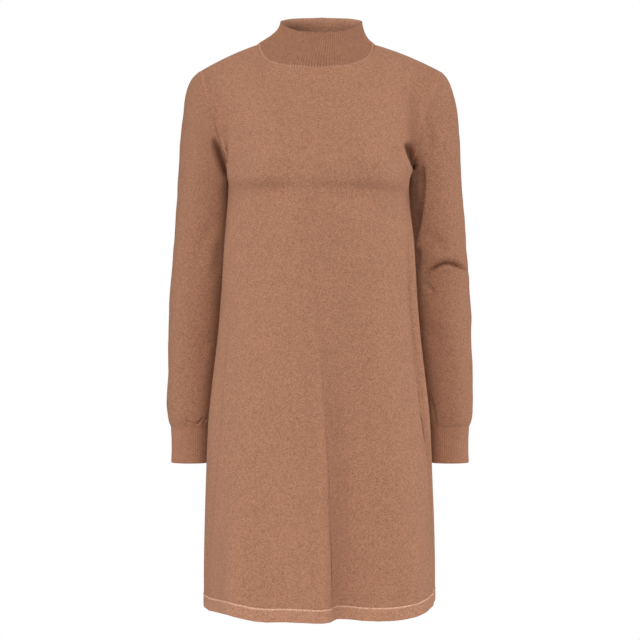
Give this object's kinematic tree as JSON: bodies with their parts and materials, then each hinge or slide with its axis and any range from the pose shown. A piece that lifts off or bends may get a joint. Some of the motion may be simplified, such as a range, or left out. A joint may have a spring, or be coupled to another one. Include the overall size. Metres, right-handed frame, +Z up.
{
  "type": "sweater dress",
  "caption": "Hollow A-line knit dress with a mock neck, long set-in sleeves, ribbed cuffs and a turned hem band, in its worn form.",
  "frame": {"origin": "on the centre plane at the height of the high shoulder points, midway between the shoulder seams, where a wearer's shoulders hold the dress up", "axes": "+Z up, the front faces -Y, +X towards the viewer's right as the front is seen"},
  "size_m": [0.486, 0.2831, 0.9333],
  "materials": {
    "plain_knit": "fine plain knit in camel, soft and matt",
    "rib_knit": "very fine rib in camel, soft and matt",
    "hem_knit": "turned double knit in camel, soft and matt"
  },
  "bodies": {
    "root": {"front": "plain_knit", "back": "plain_knit", "sleeve_left": "plain_knit", "sleeve_right": "plain_knit", "collar": "rib_knit", "cuff_left": "rib_knit", "cuff_right": "rib_knit", "hem_front": "hem_knit", "hem_back": "hem_knit"}
  },
  "joints": []
}
